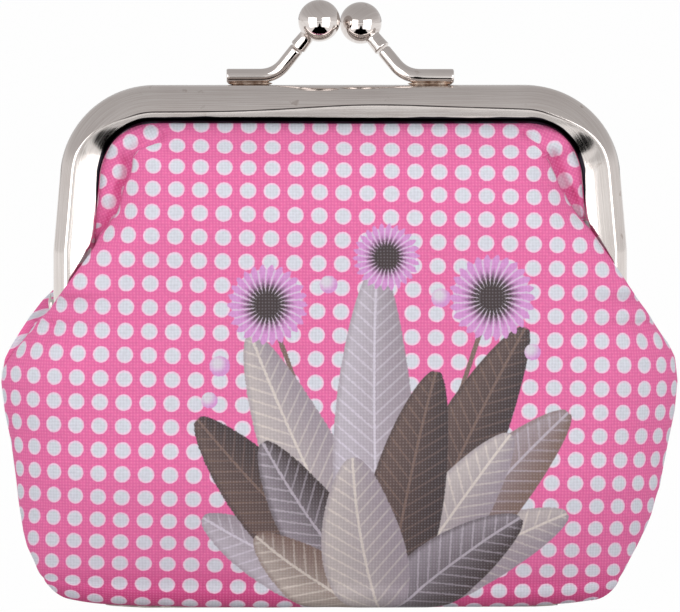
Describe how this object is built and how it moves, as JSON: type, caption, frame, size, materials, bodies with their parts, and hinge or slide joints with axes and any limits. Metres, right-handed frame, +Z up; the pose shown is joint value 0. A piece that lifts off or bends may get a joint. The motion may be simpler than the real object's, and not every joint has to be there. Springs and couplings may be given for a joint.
{
  "type": "kiss-lock coin purse",
  "caption": "Padded cloth coin purse on a boxed base, held in a hinged metal channel frame that two ball tips snap shut on top.",
  "frame": {"origin": "middle of the flat base, on the surface that the purse stands on", "axes": "+X to the right along the hinge line as seen from the front, +Y from the front panel to the rear panel, +Z up towards the clasp balls"},
  "size_m": [0.1002, 0.019, 0.0899],
  "materials": {
    "nickel_plate": "bright nickel plate on pressed steel",
    "printed_cotton": "printed plain-weave cotton with pale polka dots",
    "padding": "thin foam wadding",
    "lining": "plain cotton lining",
    "paper": "twisted paper cord"
  },
  "bodies": {
    "bag": {"front_panel_lower": "printed_cotton", "rear_panel_lower": "printed_cotton", "front_padding_lower": "padding", "rear_padding_lower": "padding", "front_lining_lower": "lining", "rear_lining_lower": "lining", "left_rivet": "nickel_plate", "right_rivet": "nickel_plate"},
    "front_half": {"front_frame": "nickel_plate", "front_paper_cord": "paper", "front_clasp_arm": "nickel_plate", "front_clasp_ball": "nickel_plate", "front_panel_upper": "printed_cotton", "front_padding_upper": "padding", "front_lining_upper": "lining"},
    "rear_half": {"rear_frame": "nickel_plate", "rear_paper_cord": "paper", "rear_clasp_arm": "nickel_plate", "rear_clasp_ball": "nickel_plate", "rear_panel_upper": "printed_cotton", "rear_padding_upper": "padding", "rear_lining_upper": "lining"}
  },
  "joints": [
    {"name": "front_half_opens", "type": "hinge", "parent": "bag", "child": "front_half", "pos_m": [0, 0, 0.045], "axis": [1, 0, 0], "range_deg": [0, 45], "deforming": ["front_panel_lower", "front_padding_lower", "front_lining_lower"]},
    {"name": "rear_half_opens", "type": "hinge", "parent": "bag", "child": "rear_half", "pos_m": [0, 0, 0.045], "axis": [-1, 0, 0], "range_deg": [0, 45], "deforming": ["rear_panel_lower", "rear_padding_lower", "rear_lining_lower"]}
  ],
  "couplings": [
    {"joint": "rear_half_opens", "follows": "front_half_opens", "ratio": 1}
  ]
}
